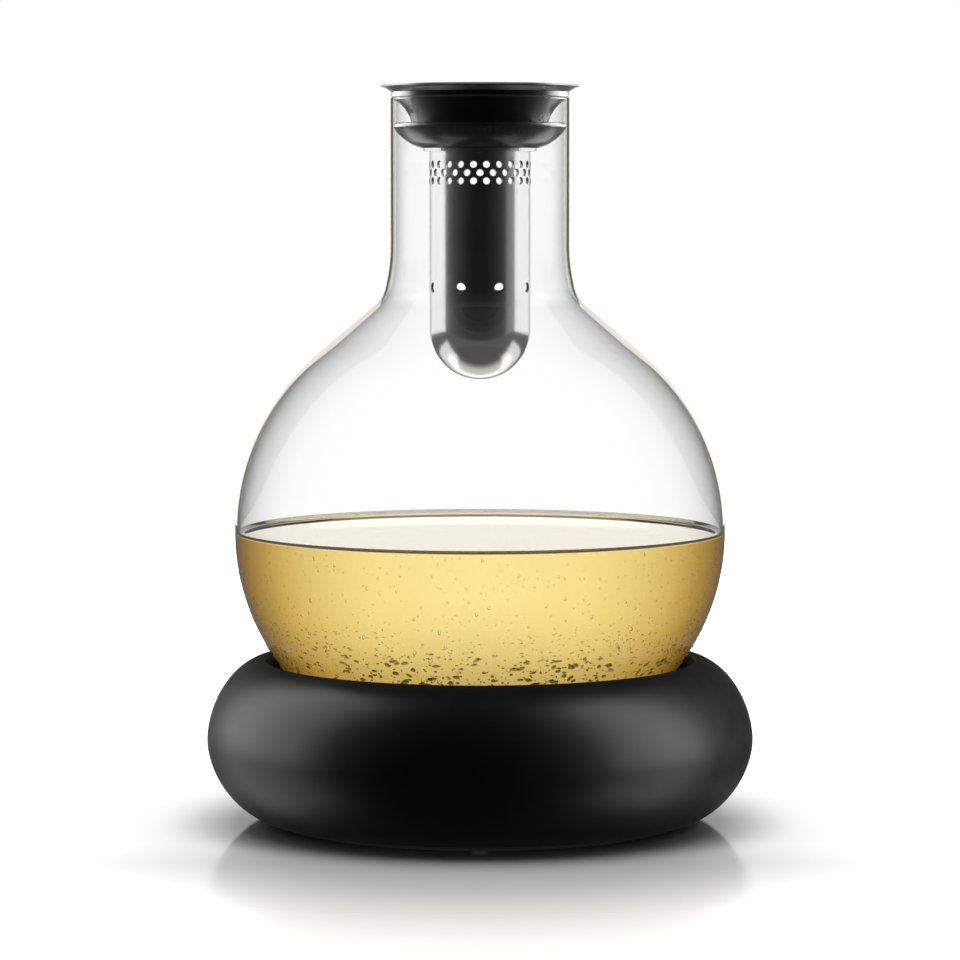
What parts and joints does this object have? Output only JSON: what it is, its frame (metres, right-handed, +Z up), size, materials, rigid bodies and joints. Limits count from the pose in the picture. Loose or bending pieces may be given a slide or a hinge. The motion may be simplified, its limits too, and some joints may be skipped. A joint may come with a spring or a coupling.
{
  "type": "cooling wine carafe",
  "caption": "Round glass carafe with a straining tube in its stopper, standing in a ring-shaped cooling base that holds a removable ice core.",
  "frame": {"origin": "centre of the base's underside, on the table", "axes": "+Z up along the axis of revolution, -Y towards the viewer of the picture, +X to the right"},
  "size_m": [0.1656, 0.1656, 0.2222],
  "materials": {
    "black_shell": "satin",
    "black_plastic": "matte",
    "foam": "matte",
    "screw_steel": "satin",
    "black_silicone": "satin",
    "core_plastic": "satin",
    "coolant": "gloss",
    "clear_glass": "gloss",
    "wine": "gloss",
    "brushed_steel": "satin",
    "polished_steel": "polished"
  },
  "bodies": {
    "base": {"base_shell": "black_shell", "base_pan": "black_plastic", "well_liner": "black_plastic", "insulation_ring": "foam", "pan_screws": "screw_steel", "foot_ring": "black_silicone"},
    "ice_core": {"core_dish": "core_plastic", "core_tray": "core_plastic", "coolant_gel": "coolant", "filler_plug": "core_plastic", "rest_ring": "black_silicone"},
    "carafe": {"glass_carafe": "clear_glass", "wine": "wine"},
    "stopper": {"pour_funnel": "brushed_steel", "stopper_core": "black_plastic", "stopper_seal": "black_silicone", "tube_grip_ring": "black_silicone"},
    "tube": {"strainer_tube": "polished_steel"}
  },
  "joints": [
    {"name": "core_lift", "type": "slide", "parent": "base", "child": "ice_core", "axis": [0, 0, 1], "range_m": [0, 0.06]},
    {"name": "carafe_lift", "type": "slide", "parent": "ice_core", "child": "carafe", "axis": [0, 0, 1], "range_m": [0, 0.06]},
    {"name": "stopper_pull", "type": "slide", "parent": "carafe", "child": "stopper", "axis": [0, 0, 1], "range_m": [0, 0.1]},
    {"name": "tube_pull", "type": "slide", "parent": "stopper", "child": "tube", "axis": [0, 0, -1], "range_m": [0, 0.02]}
  ]
}
